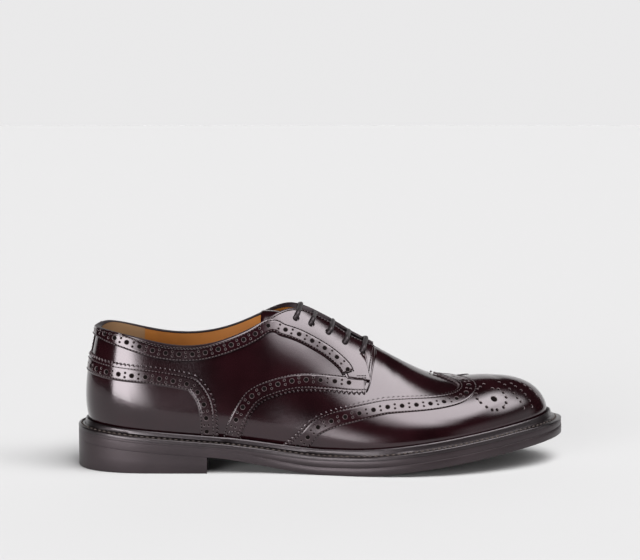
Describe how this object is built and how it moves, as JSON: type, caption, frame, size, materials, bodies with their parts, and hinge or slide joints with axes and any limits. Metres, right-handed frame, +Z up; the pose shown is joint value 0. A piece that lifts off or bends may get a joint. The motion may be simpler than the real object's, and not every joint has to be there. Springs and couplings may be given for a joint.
{
  "type": "wingtip shoe",
  "caption": "Right full-brogue derby shoe in polished leather, with a winged toe cap, laced quarters, a welt and a heeled sole. It stands empty.",
  "frame": {"origin": "on the floor, under the centre of the shoe's bounding box", "axes": "+X towards the toe, +Y towards the medial side, +Z up"},
  "size_m": [0.305, 0.1026, 0.1022],
  "materials": {
    "upper_leather": "high gloss, dark burgundy",
    "sole_edge": "satin, dark brown edge dressing",
    "lining": "matt, tan",
    "lace": "waxed round cord, dark brown"
  },
  "bodies": {
    "root": {"upper": "upper_leather", "wing_cap": "upper_leather", "quarter_lateral": "upper_leather", "quarter_medial": "upper_leather", "counter": "upper_leather", "eyestay_lateral": "upper_leather", "eyestay_medial": "upper_leather", "tongue": "upper_leather", "heel": "sole_edge", "outsole": "sole_edge", "midsole": "sole_edge", "welt": "sole_edge", "insole": "lining", "lace_bar_1": "lace", "lace_bar_2": "lace", "lace_bar_3": "lace", "lace_bar_4": "lace", "lace_bar_5": "lace"}
  },
  "joints": []
}
